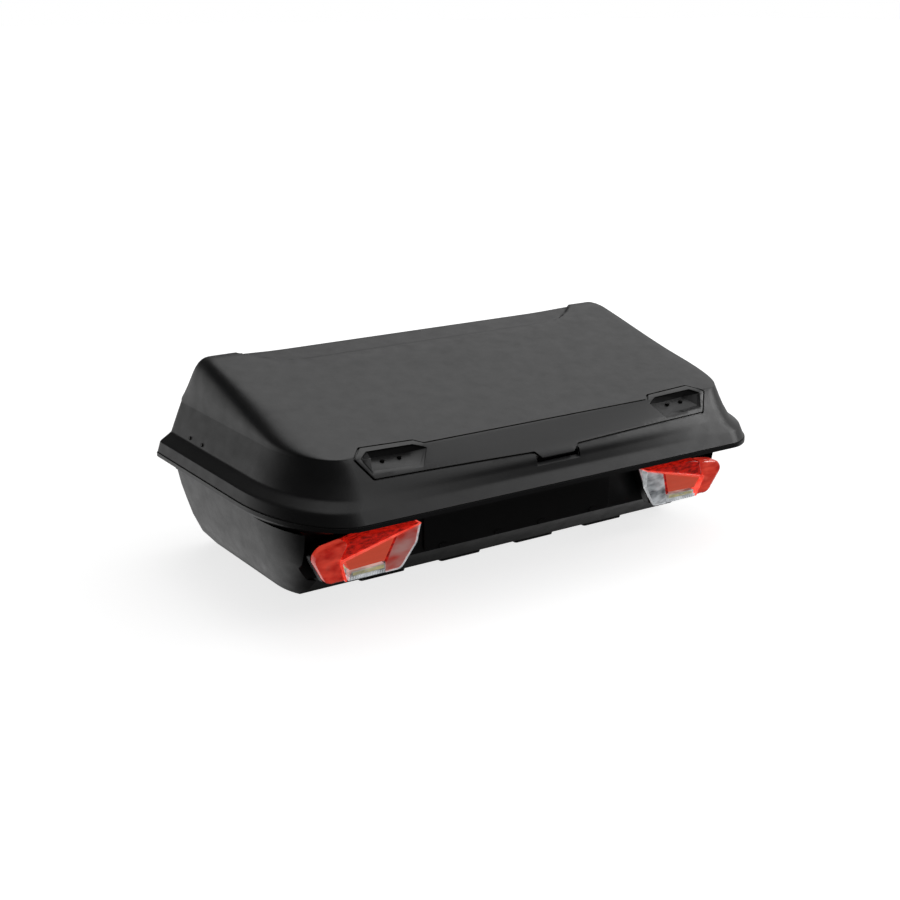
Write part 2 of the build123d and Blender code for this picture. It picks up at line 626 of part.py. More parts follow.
# ---------------------------------------------------------------- gas struts
tube_r, tube_start, tube_end, gland, stud_r = 9.0, 7.0, 246.0, 8.0, 4.0
lean = radians(strut_angle)
with BuildPart() as tub_hollow:
    loft([plan_ring(*ring) for ring in tub_inside], ruled=True)
for side in (-1, 1):
    name = side_name[side]
    with BuildPart() as strut_base_bracket:
        with Locations((side * (strut_x + 20), strut_base[0], strut_base[1] + 1)):
            Box(20, 30, 28)
        with Locations(Location((side * (strut_x + 2), *strut_base), (0, 90, 0))):
            Cylinder(stud_r, 18)
        add(tub_hollow.part, mode=Mode.INTERSECT)
    write(f"strut_base_bracket_{name}", strut_base_bracket.part)

    along = Plane(origin=(side * strut_x, *strut_base), x_dir=(1, 0, 0),
                  z_dir=(0, cos(lean), sin(lean)))
    with BuildPart(along) as strut_cylinder:
        with Locations((0, 0, tube_start)):
            Cylinder(tube_r, tube_end - tube_start, align=(Align.CENTER, Align.CENTER, Align.MIN))
        with Locations(Location((0, 0, 0), (0, 90, 0))):
            Cylinder(tube_r, 10)
            Cylinder(stud_r + running, 30, mode=Mode.SUBTRACT)
        with Locations((0, 0, 16)):
            Cylinder(tube_r - 2, tube_end - gland - 16, mode=Mode.SUBTRACT,
                     align=(Align.CENTER, Align.CENTER, Align.MIN))
        with Locations((0, 0, tube_end)):
            Cylinder(stud_r + running, 40, mode=Mode.SUBTRACT)
    write(f"strut_cylinder_{name}", strut_cylinder.part)

    with BuildPart(along) as strut_rod:
        with Locations((0, 0, 28)):
            Cylinder(stud_r, strut_length - 32, align=(Align.CENTER, Align.CENTER, Align.MIN))
        with Locations((0, 0, 24)):
            Cylinder(tube_r - 2.5, 8, align=(Align.CENTER, Align.CENTER, Align.MIN))
        with Locations(Location((0, 0, strut_length), (0, 90, 0))):
            Cylinder(8, 8)
            Cylinder(stud_r + 0.2, 30, mode=Mode.SUBTRACT)
    write(f"strut_rod_{name}", strut_rod.part)

    with BuildPart() as strut_lid_bracket:               # its stud stops beside the rod's eye
        with Locations((side * 627, 209, 300.5)):
            Box(20, 96, 25)
        with Locations(Location((side * (strut_x + 15), *strut_lid), (0, 90, 0))):
            Cylinder(stud_r, 20)
        add(lid_outer(wall), mode=Mode.INTERSECT)
        for x, y, z in side_screw_at:
            with Locations(Plane(origin=(side * x, y, z), x_dir=(0, 1, 0),
                                 z_dir=(side * 0.949, 0, 0.316))):
                Cylinder(2.1, 20, mode=Mode.SUBTRACT)
    write(f"strut_lid_bracket_{name}", strut_lid_bracket.part)

with BuildPart() as side_screws:                         # heads on the end bands of the lid
    for side in (-1, 1):
        for x, y, z in side_screw_at:
            with Locations(Plane(origin=(side * x, y, z), x_dir=(0, 1, 0),
                                 z_dir=(side * 0.949, 0, 0.316))):
                Cylinder(4.5, 2.2, align=(Align.CENTER, Align.CENTER, Align.MIN))
                Cylinder(2, 8, align=(Align.CENTER, Align.CENTER, Align.MAX))
write("side_screws", side_screws.part)
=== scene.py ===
import bmesh
import bpy
import json
import math
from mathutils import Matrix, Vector
from mathutils.bvhtree import BVHTree
from mathutils.geometry import delaunay_2d_cdt


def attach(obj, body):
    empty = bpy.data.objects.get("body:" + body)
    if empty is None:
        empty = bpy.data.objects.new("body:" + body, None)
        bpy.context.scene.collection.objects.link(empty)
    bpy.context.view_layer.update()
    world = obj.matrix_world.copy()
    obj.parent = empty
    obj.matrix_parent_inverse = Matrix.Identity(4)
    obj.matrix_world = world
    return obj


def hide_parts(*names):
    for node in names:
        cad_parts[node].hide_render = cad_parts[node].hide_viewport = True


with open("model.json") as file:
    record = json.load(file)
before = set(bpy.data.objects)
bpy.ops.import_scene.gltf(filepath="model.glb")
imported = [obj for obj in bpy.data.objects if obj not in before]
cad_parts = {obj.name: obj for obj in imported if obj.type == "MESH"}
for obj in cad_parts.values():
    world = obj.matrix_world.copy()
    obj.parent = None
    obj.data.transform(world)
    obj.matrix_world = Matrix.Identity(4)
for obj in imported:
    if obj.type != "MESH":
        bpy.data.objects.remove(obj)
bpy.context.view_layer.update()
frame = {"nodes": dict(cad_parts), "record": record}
nodes = frame["nodes"]
MM = 0.001
SIDES = {"left": -1, "right": 1}


# ---------------------------------------------------------------- materials
class Surface:
    """A material with its node tree, and helpers that add and join nodes."""

    def __init__(self, name, colour, roughness, **sockets):
        self.material = bpy.data.materials.new(name)
        self.material.use_nodes = True
        self.tree = self.material.node_tree
        self.shader = self.tree.nodes["Principled BSDF"]
        self.shader.inputs["Base Color"].default_value = colour
        self.shader.inputs["Roughness"].default_value = roughness
        for socket, value in sockets.items():
            self.shader.inputs[socket.replace("_", " ")].default_value = value
        self.coords = self.add("ShaderNodeTexCoord").outputs["Object"]

    def add(self, kind, **settings):
        node = self.tree.nodes.new(kind)
        for key, value in settings.items():
            setattr(node, key, value)
        return node

    def join(self, output, target):
        self.tree.links.new(output, target)

    def noise(self, scale, detail=4.0, roughness=0.5):
        node = self.add("ShaderNodeTexNoise")
        node.inputs["Scale"].default_value = scale
        node.inputs["Detail"].default_value = detail
        node.inputs["Roughness"].default_value = roughness
        self.join(self.coords, node.inputs["Vector"])
        return node.outputs["Fac"]

    def span(self, value, low, high, from_low=0.0, from_high=1.0):
        node = self.add("ShaderNodeMapRange")
        for socket, number in (("From Min", from_low), ("From Max", from_high),
                               ("To Min", low), ("To Max", high)):
            node.inputs[socket].default_value = number
        self.join(value, node.inputs["Value"])
        return node.outputs["Result"]

    def blend_colours(self, factor, first, second):
        node = self.add("ShaderNodeMix", data_type="RGBA")
        self.join(factor, node.inputs["Factor"])
        node.inputs[6].default_value = first
        node.inputs[7].default_value = second
        return node.outputs[2]

    def bump(self, heights, distance):
        """heights: (output, strength) pairs, chained into the shader's normal."""
        last = None
        for output, strength in heights:
            node = self.add("ShaderNodeBump")
            node.inputs["Strength"].default_value = strength
            node.inputs["Distance"].default_value = distance
            self.join(output, node.inputs["Height"])
            if last:
                self.join(last.outputs["Normal"], node.inputs["Normal"])
            last = node
        self.join(last.outputs["Normal"], self.shader.inputs["Normal"])


def grained_plastic(name, shade, roughness, grain_scale=1400.0, grain=0.25, tint=(1, 1, 1.04)):
    """Moulded plastic: fine leather-like grain, slow colour drift and faint handling marks."""
    base = tuple(shade * t for t in tint) + (1.0,)
    light = tuple(min(1.0, shade * 1.35 * t) for t in tint) + (1.0,)
    surface = Surface(name, base, roughness)
    drift = surface.noise(3.5, 3.0)
    surface.join(surface.blend_colours(surface.span(drift, 0.0, 1.0, 0.35, 0.65), base, light),
                 surface.shader.inputs["Base Color"])
    smudge = surface.noise(26.0, 6.0, 0.65)
    surface.join(surface.span(smudge, roughness - 0.05, roughness + 0.06, 0.3, 0.7),
                 surface.shader.inputs["Roughness"])
    cells = surface.add("ShaderNodeTexVoronoi", feature="DISTANCE_TO_EDGE")
    cells.inputs["Scale"].default_value = grain_scale
    surface.join(surface.coords, cells.inputs["Vector"])
    surface.bump([(cells.outputs["Distance"], grain), (surface.noise(grain_scale * 0.35), grain * 0.5)],
                 0.0002)
    return surface.material


def metal(name, colour, roughness, brushed=True):
    surface = Surface(name, colour, roughness, Metallic=1.0)
    stretched = surface.add("ShaderNodeMapping")
    stretched.inputs["Scale"].default_value = (30, 900, 900) if brushed else (120, 120, 120)
    surface.join(surface.coords, stretched.inputs["Vector"])
    streaks = surface.add("ShaderNodeTexNoise")
    streaks.inputs["Scale"].default_value = 1.0
    surface.join(stretched.outputs["Vector"], streaks.inputs["Vector"])
    surface.join(surface.span(streaks.outputs["Fac"], roughness * 0.8, roughness * 1.25),
                 surface.shader.inputs["Roughness"])
    surface.bump([(streaks.outputs["Fac"], 0.12)], 0.0001)
    return surface.material


def lamp_acrylic(name, light, dark, painted_glow, scale=60.0, transmission=0.25):
    """Lens plastic: noise paints light and dark tones as a painted reflection of the moulded facets behind it, and the
    lens emits them as a painted glow.
    """
    surface = Surface(name, light, 0.12, IOR=1.49)
    surface.shader.inputs["Transmission Weight"].default_value = transmission
    surface.shader.inputs["Coat Weight"].default_value = 0.6
    stretched = surface.add("ShaderNodeMapping")
    stretched.inputs["Scale"].default_value = (0.45, 1.0, 1.0)
    surface.join(surface.coords, stretched.inputs["Vector"])
    facet_reflection_noise = surface.add("ShaderNodeTexNoise")
    facet_reflection_noise.inputs["Scale"].default_value = scale
    facet_reflection_noise.inputs["Detail"].default_value = 2.0
    surface.join(stretched.outputs["Vector"], facet_reflection_noise.inputs["Vector"])
    # painted reflection: light and dark tones standing in for the facets behind the lens catching light
    tone = surface.blend_colours(surface.span(facet_reflection_noise.outputs["Fac"], 0.0, 1.0, 0.35, 0.68), light, dark)
    surface.join(tone, surface.shader.inputs["Base Color"])
    # painted glow: the lens emits its own tones, with no lamp lit behind it
    surface.join(tone, surface.shader.inputs["Emission Color"])
    surface.shader.inputs["Emission Strength"].default_value = painted_glow
    surface.bump([(facet_reflection_noise.outputs["Fac"], 0.08)], 0.0006)
    return surface.material


def prism_reflector(name, colour):
    """Red reflex reflector: rows of tiny corner cubes under a smooth face, which also emits its red as a painted glow.
    """
    surface = Surface(name, colour, 0.25)
    surface.shader.inputs["Coat Weight"].default_value = 0.6
    # painted glow: the reflector emits its own red, standing in for light sent back by its prisms
    surface.shader.inputs["Emission Color"].default_value = colour
    surface.shader.inputs["Emission Strength"].default_value = 0.62
    cells = surface.add("ShaderNodeTexVoronoi", feature="F1", distance="MANHATTAN")
    cells.inputs["Scale"].default_value = 330.0
    cells.inputs["Randomness"].default_value = 0.0
    surface.join(surface.coords, cells.inputs["Vector"])
    darker = tuple(c * 0.62 for c in colour[:3]) + (1.0,)
    surface.join(surface.blend_colours(surface.span(cells.outputs["Distance"], 0.0, 1.0, 0.0, 0.8), colour, darker),
                 surface.shader.inputs["Base Color"])
    surface.bump([(cells.outputs["Distance"], 0.6)], 0.0008)
    return surface.material


lid_plastic = grained_plastic("lid_plastic", 0.011, 0.38)
panel_plastic = grained_plastic("panel_plastic", 0.010, 0.34, 1800.0, 0.18)
plate_plastic = grained_plastic("plate_plastic", 0.004, 0.40, 1800.0, 0.2)
rubber = grained_plastic("rubber", 0.012, 0.7, 900.0, 0.4)
zinc = metal("zinc_steel", (0.55, 0.55, 0.53, 1), 0.32)
black_steel = metal("black_steel", (0.03, 0.03, 0.03, 1), 0.45, brushed=False)
chrome = metal("lamp_chrome", (0.85, 0.85, 0.85, 1), 0.08, brushed=False)
red_acrylic = lamp_acrylic("red_acrylic", (0.70, 0.075, 0.045, 1), (0.36, 0.012, 0.008, 1), 0.55, 45.0)
band_acrylic = lamp_acrylic("band_acrylic", (0.62, 0.016, 0.008, 1), (0.16, 0.006, 0.004, 1), 0.5, 150.0)
# painted highlight: a brighter red with a stronger glow along the raised ridge of the lens
ridge_highlight_acrylic = lamp_acrylic("ridge_highlight_acrylic", (0.85, 0.14, 0.10, 1), (0.62, 0.05, 0.03, 1), 0.75)
clear_acrylic = lamp_acrylic("clear_acrylic", (0.62, 0.64, 0.66, 1), (0.12, 0.13, 0.14, 1), 0.42, 55.0)
fog_acrylic = lamp_acrylic("fog_acrylic", (0.52, 0.30, 0.28, 1), (0.50, 0.05, 0.035, 1), 0.38, 32.0)
led_amber = lamp_acrylic("led_amber", (0.58, 0.52, 0.26, 1), (0.30, 0.28, 0.18, 1), 0.45, 120.0)
# painted highlight: a pale, glowing tone for the narrow inner lens borders and the ribs over the LED strip
white_edge_highlight = lamp_acrylic("white_edge_highlight", (0.72, 0.74, 0.76, 1), (0.45, 0.46, 0.48, 1), 0.5, 90.0)
reflex_red = prism_reflector("reflex_red", (0.66, 0.085, 0.045, 1))
badge_metal = metal("badge_metal", (0.10, 0.10, 0.10, 1), 0.35)
black_screw = metal("black_screw", (0.02, 0.02, 0.02, 1), 0.35, brushed=False)

by_slot = {"abs_textured": lid_plastic, "abs_smooth": panel_plastic, "plate_black": plate_plastic,
           "lens_red": red_acrylic, "lens_clear": clear_acrylic, "reflex_red": reflex_red,
           "lamp_chrome": chrome, "zinc_steel": zinc, "black_steel": black_steel, "rubber": rubber}
for part in frame["record"]["subparts"]:
    obj = nodes[part["node"]]
    for material_slot in obj.material_slots:
        material_slot.material = by_slot[part["material_slot"]]
for name, material in (("fog_lens_left", fog_acrylic), ("badge_plate", badge_metal)):
    for material_slot in nodes[name].material_slots:
        material_slot.material = material
for name in ("pocket_screws", "side_screws"):
    for material_slot in nodes[name].material_slots:
        material_slot.material = black_screw

# ---------------------------------------------------------------- mesh helpers
def mesh_object(name, points, faces, material, smooth_angle=None):
    """A mesh object from points in millimetres; smooth_angle in degrees keeps sharper edges sharp."""
    mesh = bpy.data.meshes.new(name)
    mesh.from_pydata([tuple(c * MM for c in p) for p in points], [], faces)
    mesh.validate()
    work = bmesh.new()
    work.from_mesh(mesh)
    bmesh.ops.remove_doubles(work, verts=work.verts, dist=0.00002)
    bmesh.ops.recalc_face_normals(work, faces=work.faces)
    work.to_mesh(mesh)
    work.free()
    obj = bpy.data.objects.new(name, mesh)
    bpy.context.collection.objects.link(obj)
    if material:
        mesh.materials.append(material)
    if smooth_angle:
        soften(obj, smooth_angle)
    return obj


def soften(obj, angle):
    """Smooth shading, with edges over the angle marked sharp."""
    mesh = obj.data
    mesh.polygons.foreach_set("use_smooth", [True] * len(mesh.polygons))
    work = bmesh.new()
    work.from_mesh(mesh)
    for edge in work.edges:
        edge.smooth = len(edge.link_faces) == 2 and edge.calc_face_angle(0.0) < math.radians(angle)
    work.to_mesh(mesh)
    work.free()


def apply_modifiers(obj):
    """Replaces the object's mesh by its evaluated one."""
    bpy.context.view_layer.update()
    evaluated = obj.evaluated_get(bpy.context.evaluated_depsgraph_get())
    mesh = bpy.data.meshes.new_from_object(evaluated)
    obj.modifiers.clear()
    obj.data = mesh


def combine(obj, cutter, operation):
    """Boolean of two closed meshes; the cutter is removed afterwards."""
    modifier = obj.modifiers.new("cut", "BOOLEAN")
    modifier.operation = operation
    modifier.solver = "EXACT"
    modifier.object = cutter
    apply_modifiers(obj)
    bpy.data.objects.remove(cutter)


def bevel(obj, width, segments=2, angle=35.0):
    modifier = obj.modifiers.new("bevel", "BEVEL")
    modifier.width = width * MM
    modifier.segments = segments
    modifier.limit_method = "ANGLE"
    modifier.angle_limit = math.radians(angle)
    modifier.use_clamp_overlap = True
    apply_modifiers(obj)


def smoothstep(low, high, value):
    t = min(1.0, max(0.0, (value - low) / (high - low)))
    return t * t * (3 - 2 * t)


def along(table, value):
    """Straight-line interpolation in rows of (key, number, number...)."""
    if value <= table[0][0]:
        return table[0][1:]
    for low, high in zip(table, table[1:]):
        if value <= high[0]:
            t = (value - low[0]) / (high[0] - low[0])
            return [a + (b - a) * t for a, b in zip(low[1:], high[1:])]
    return table[-1][1:]


# ---------------------------------------------------------------- lid shell
CREASE_Y, CREASE_Z, TOP_SLOPE = -284.5, 366.5, 0.236
RIDGE_Y, DECK_SLOPE, DECK_DROP = 128.0, 0.145, 7.0
SKIRT = [  # z, half length, front y, back y, corner x, corner y, rear corner, bow of the front
    (246.5, 668, -373, 354, 150, 290, 12, 0), (271, 661, -357, 352, 140, 275, 12, 0),
    (290, 633, -342, 350, 130, 250, 13, 9), (303, 628.7, -331.5, 348.5, 128, 242, 14, 17),
    (317, 624, -320.7, 347, 125, 235, 15, 20), (336, 617, -306.5, 346, 115, 218, 16, 14),
    (364.5, 607, -286.5, 343, 100, 190, 18, 0)]
SKIRT_LEVELS = [362, 356, 346, 336, 326, 317, 309, 303, 297, 293, 291.2, 288.8, 286, 280, 275, 272.4,
                269.6, 266, 259, 252, 248.3, 246.5]
CORNER_STEPS, SIDE_STEPS, REAR_STEPS = 18, 62, 6
COLUMNS = [0.0, 0.0012, 0.003, 0.0055, 0.009, 0.0135, 0.019, 0.026, 0.034, 0.043, 0.054, 0.067, 0.082,
           0.1, 0.12] + [0.12 + 0.0125 * i for i in range(1, 26)] + [0.4325 + 0.0709 * i for i in range(1, 9)]


def sweep_back(x):
    """How far the ridge and the edge of the deck swing back towards the ends."""
    return min(130.0, 38.0 * (max(0.0, abs(x) - 353.0) / 97.0) ** 2)


def soft_min(a, b, radius):
    h = max(radius - abs(a - b), 0.0) / radius
    return min(a, b) - h * h * radius / 4


def top_height(x, y, edge_half):
    """Height of the lid's top at a place in plan, where its side edge is at edge_half."""
    ridge = RIDGE_Y + sweep_back(x)
    slope = CREASE_Z + TOP_SLOPE * (y - CREASE_Y)
    flat = CREASE_Z + TOP_SLOPE * (ridge - CREASE_Y) + DECK_SLOPE * (y - ridge)
    height = soft_min(soft_min(slope, flat, 1.5), 485.0, 4.0)
    edge = ridge + 39.0
    height -= DECK_DROP * smoothstep(0.0, 6.0, y - edge) + 0.02 * max(0.0, y - edge - 9)
    back_wall = 364.5 + (343.0 - y) / 0.652
    height = soft_min(height, back_wall, 26.0) if y > 180 else height
    height = max(height, 364.5)
    toward_back = smoothstep(-200.0, 230.0, y)
    width, power = 92.0 - 42.0 * toward_back, 2.35 + 0.6 * toward_back
    q = min(1.0, max(0.0, 1 - (edge_half - abs(x)) / width))
    shoulder = 1 - (1 - q ** power) ** (1 / power)
    return height + (364.5 - height) * shoulder


def side_stations(ring):
    """Points of one side of a plan outline, from the front corner to the rear one."""
    _, half, front, back, corner_x, corner_y, rear, _ = ring
    points = []
    for i in range(CORNER_STEPS + 1):
        turn = math.pi / 2 * i / CORNER_STEPS
        points.append((half - corner_x + corner_x * math.sin(turn), front + corner_y * (1 - math.cos(turn))))
    low, high = front + corner_y, back - rear
    for i in range(1, SIDE_STEPS):
        points.append((half, low + (high - low) * i / SIDE_STEPS))
    for i in range(REAR_STEPS + 1):
        turn = math.pi / 2 * i / REAR_STEPS
        points.append((half - rear + rear * math.cos(turn), high + rear * math.sin(turn)))
    return points


def lid_surface(inset=0.0, low=246.5):
    """Rows of the top and loops of the skirt, moved inwards by inset. Returns points and faces, open below."""
    def ring_at(z):
        _, half, front, back, cx, cy, rear, bow = (z, *along(SKIRT, z + inset * 0.5 if z > 300 else z))
        return (z, half - inset, front + inset, back - inset, cx - inset * 0.6, cy - inset * 0.6,
                max(rear - inset, 6), bow)
    top_ring = (364.5, *along(SKIRT, 364.5))
    top_ring = (364.5, top_ring[1] - inset, top_ring[2] + inset, top_ring[3] - inset, *top_ring[4:])
    stations = side_stations(top_ring)
    fractions = [-(1 - e) for e in COLUMNS] + [1 - e for e in reversed(COLUMNS)][1:]
    points, rows = [], []
    for half, y in stations:
        row = []
        for f in fractions:
            x = f * half
            z = top_height(x, y - inset if y > 250 else y, half)
            near_front = max(0.0, 4.0 - (y - stations[0][1]))
            row.append(len(points))
            points.append((x, y, z - inset - 0.09 * near_front ** 2))
        rows.append(row)
    faces = [(a[i], a[i + 1], b[i + 1], b[i]) for a, b in zip(rows, rows[1:]) for i in range(len(a) - 1)]
    loop = (rows[0] + [row[-1] for row in rows[1:]] + rows[-1][-2::-1] + [row[0] for row in rows[-2:0:-1]])
    n_columns, n_side = len(fractions), len(stations)
    levels = [z for z in SKIRT_LEVELS if z > low] + [low]
    previous = loop
    for z in levels:
        ring = ring_at(z)
        _, half, front, back, cx, cy, rear, bow = ring
        side = side_stations(ring)
        xs = half - cx
        front_row = [(f * xs, front - bow * (1 - f * f)) for f in fractions]
        rear_row = [(f * (half - rear), back) for f in reversed(fractions)]
        outline = (front_row + side[1:] + rear_row[1:] + [(-x, y) for x, y in side[-2:0:-1]])
        ids = list(range(len(points), len(points) + len(outline)))
        points += [(x, y, z) for x, y in outline]
        n = len(ids)
        faces += [(previous[i], ids[i], ids[(i + 1) % n], previous[(i + 1) % n]) for i in range(n)]
        previous = ids
    return points, faces, previous


def closed(points, faces, loop):
    return points, faces + [tuple(loop)]


def lid_wall_mesh(thickness):
    """Outer and inner skins of the lid joined at the lower edge."""
    points, faces, loop = lid_surface()
    inner_points, inner_faces, inner_loop = lid_surface(thickness)
    shift = len(points)
    faces = faces + [tuple(i + shift for i in reversed(face)) for face in inner_faces]
    n = len(loop)
    faces += [(loop[i], loop[(i + 1) % n], inner_loop[(i + 1) % n] + shift, inner_loop[i] + shift)
              for i in range(n)]
    return points + inner_points, faces


PANEL_ORIGIN, PANEL_UP = Vector((0, -310, 340)), Vector((0, 1, 1)).normalized()
PANEL_OUT = Vector((0, -1, 1)).normalized()
PANEL_HALF = [(0, 36.8), (318, 36.8), (334, 53), (462, 60.5), (492, 30.4), (462.5, -19.4), (61, -36.8),
              (45, -53.7), (0, -53.7)]
skin = mesh_object("lid_form", *closed(*lid_surface()), None)
skin_tree = BVHTree.FromObject(skin, bpy.context.evaluated_depsgraph_get())


def on_lid(u, v):
    """Point of the lid's outer skin that lies over (u, v) of the panel's plane, in millimetres."""
    start = (PANEL_ORIGIN + Vector((u, 0, 0)) + PANEL_UP * v + PANEL_OUT * 150) * MM
    hit = skin_tree.ray_cast(start, -PANEL_OUT)[0]
    return hit / MM


def outline_points(half, grow=0.0, step=14.0, corner=3.0):
    """The panel's outline, offset outwards, with small round corners and points along its sides."""
    ring = half + [(-u, v) for u, v in reversed(half[1:-1])]
    n = len(ring)
    corners = []
    for i in range(n):
        before, here, after = (Vector(ring[j % n]) for j in (i - 1, i, i + 1))
        into, out = (here - before).normalized(), (after - here).normalized()
        normals = [Vector((-d.y, d.x)) for d in (into, out)]
        bisector = (normals[0] + normals[1]) / max(0.2, 1 + normals[0].dot(normals[1]))
        corners.append(here + bisector * grow)
    points = []
    for i in range(n):
        before, here, after = corners[i - 1], corners[i], corners[(i + 1) % n]
        if abs(here.x) > 1:
            first = here + (before - here).normalized() * corner
            last = here + (after - here).normalized() * corner
            points += [first.lerp(here, t).lerp(here.lerp(last, t), t) for t in (0, 0.25, 0.5, 0.75, 1)]
            start = last
        else:
            points.append(here)
            start = here
        end = after + (here - after).normalized() * (corner if abs(after.x) > 1 else 0)
        count = max(1, int((end - start).length / step))
        points += [start.lerp(end, k / count) for k in range(1, count)]
    return points


def draped_plate(name, outline, above, below, material, step=14.0):
    """A plate over an outline of the panel's plane, following the lid's skin above and below it."""
    low_u, high_u = min(p.x for p in outline), max(p.x for p in outline)
    low_v, high_v = min(p.y for p in outline), max(p.y for p in outline)
    inside = [Vector((low_u + step * i, low_v + step * j)) for i in range(1, int((high_u - low_u) / step))
              for j in range(1, int((high_v - low_v) / step))]
    n = len(outline)
    edges = [(i, (i + 1) % n) for i in range(n)]
    places, _, triangles, *_ = delaunay_2d_cdt(list(outline) + inside, edges, [tuple(range(n))], 1, 0.001)
    skin_points = [on_lid(p.x, p.y) for p in places]
    points = [s + PANEL_OUT * above for s in skin_points] + [s + PANEL_OUT * below for s in skin_points]
    count = len(places)
    counted = {}
    for face in triangles:
        for a, b in zip(face, list(face[1:]) + [face[0]]):
            counted[(a, b)] = True
    faces = [tuple(face) for face in triangles] + [tuple(i + count for i in reversed(face)) for face in triangles]
    for a, b in counted:
        if (b, a) not in counted:
            faces.append((b, a, a + count, b + count))
    return mesh_object(name, points, faces, material)


POCKET_FLOOR = [(441, -268, 351), (356, -273, 349), (343, -322, 328), (467, -318, 330)]
POCKET_RIM = [(460, -276, 374), (342, -280, 370), (317, -292, 358), (478, -290, 360)]


def pocket_form(name, side, grow):
    """Space of an end pocket: its leaning floor and flared walls, carried on outwards."""
    middle = Vector((405, -290, 350))
    near = [Vector(p) + Vector((math.copysign(grow, p[0] - middle.x), grow * 0.7, -grow)) for p in POCKET_FLOOR]
    rim = [Vector(p) + Vector((math.copysign(grow, p[0] - middle.x), grow * 0.5, grow * 0.2)) for p in POCKET_RIM]
    far = [middle + (p - middle) * 1.35 + PANEL_OUT * 45 for p in rim] + [p + PANEL_OUT * 60 for p in near[2:]]
    work = bmesh.new()
    for p in near + rim + far:
        work.verts.new((side * p.x * MM, p.y * MM, p.z * MM))
    bmesh.ops.convex_hull(work, input=work.verts)
    bmesh.ops.delete(work, geom=[v for v in work.verts if not v.link_faces], context="VERTS")
    bmesh.ops.recalc_face_normals(work, faces=work.faces)
    mesh = bpy.data.meshes.new(name)
    work.to_mesh(mesh)
    work.free()
    obj = bpy.data.objects.new(name, mesh)
    bpy.context.collection.objects.link(obj)
    return obj


def prism(name, profile, half_width):
    """A closed block with a profile of (y, z) points, across the middle of the box."""
    points = [(x, y, z) for x in (-half_width, half_width) for y, z in profile]
    n = len(profile)
    faces = [tuple(range(n)), tuple(range(2 * n - 1, n - 1, -1))]
    faces += [(i, i + n, (i + 1) % n + n, (i + 1) % n) for i in range(n)]
    return mesh_object(name, points, faces, None)


LID_WALL, PANEL_GAP = 8.5, 4.4
lid = mesh_object("lid_skin", *lid_wall_mesh(LID_WALL), lid_plastic)
combine(lid, draped_plate("seat", outline_points(PANEL_HALF, PANEL_GAP, corner=4.0), 40, -4.6, None), "DIFFERENCE")
for side in (-1, 1):
    combine(lid, pocket_form("pocket_cut", side, 4.0), "DIFFERENCE")
combine(lid, prism("finger_cut", [(-380, 283), (-352, 286.5), (-343, 292), (-310, 292), (-310, 309), (-380, 309)],
                   61), "DIFFERENCE")
soften(lid, 24.0)
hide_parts("lid_shell")
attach(lid, "lid")

panel = draped_plate("handle_panel_skin", outline_points(PANEL_HALF), 1.0, -3.4, panel_plastic)
for side in (-1, 1):
    combine(panel, pocket_form("pocket_cut", side, 0.0), "DIFFERENCE")
for side in (-1, 1):
    tray = pocket_form("pocket_tray", side, 2.4)
    limit = draped_plate("tray_limit", outline_points(PANEL_HALF, 0.5), 0.8, -70, None)
    combine(tray, limit, "INTERSECT")
    combine(tray, pocket_form("pocket_cut", side, 0.0), "DIFFERENCE")
    tray.data.materials.clear()
    tray.data.materials.append(panel_plastic)
    tray.name = f"pocket_tray_{'left' if side < 0 else 'right'}"
    bevel(tray, 0.8, 2)
    soften(tray, 30.0)
    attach(tray, "lid")
bevel(panel, 2.2, 3)
soften(panel, 30.0)
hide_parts("handle_panel")
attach(panel, "lid")
bpy.data.objects.remove(skin)

# ---------------------------------------------------------------- tub, with its rings blended into smooth walls
tub = bpy.data.objects.new("tub_skin", nodes["base_tub"].data.copy())
bpy.context.collection.objects.link(tub)
tub.matrix_world = nodes["base_tub"].matrix_world.copy()
weld = bmesh.new()
weld.from_mesh(tub.data)
bmesh.ops.remove_doubles(weld, verts=weld.verts, dist=0.00002)
weld.to_mesh(tub.data)
weld.free()
soften(tub, 34.0)
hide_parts("base_tub")
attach(tub, "base")

# ---------------------------------------------------------------- tail lamps
LAMP_BACK, LAMP_TOP_Y, LAMP_TOP_Z, LAMP_LEAN = -248.5, -284.0, 195.0, 0.169
SHALLOW_BACK = -266.0                  # of the zones along the lamp's inner end


def lamp_front(z):
    """Front face of a lamp at height z; it leans back towards its lower edge."""
    return LAMP_TOP_Y + LAMP_LEAN * (LAMP_TOP_Z - z)


def rounded(corners, radii, steps=6):
    """A closed outline with its corners rounded by curves that start radius away from them."""
    points, n = [], len(corners)
    for i, radius in enumerate(radii):
        before, here, after = (Vector(corners[j % n]) for j in (i - 1, i, i + 1))
        first, last = (here + (p - here).normalized() * radius for p in (before, after))
        count = steps if radius > 0.5 else 1
        points += [first.lerp(here, k / count).lerp(here.lerp(last, k / count), k / count)
                   for k in range(count)] + [last]
    return points


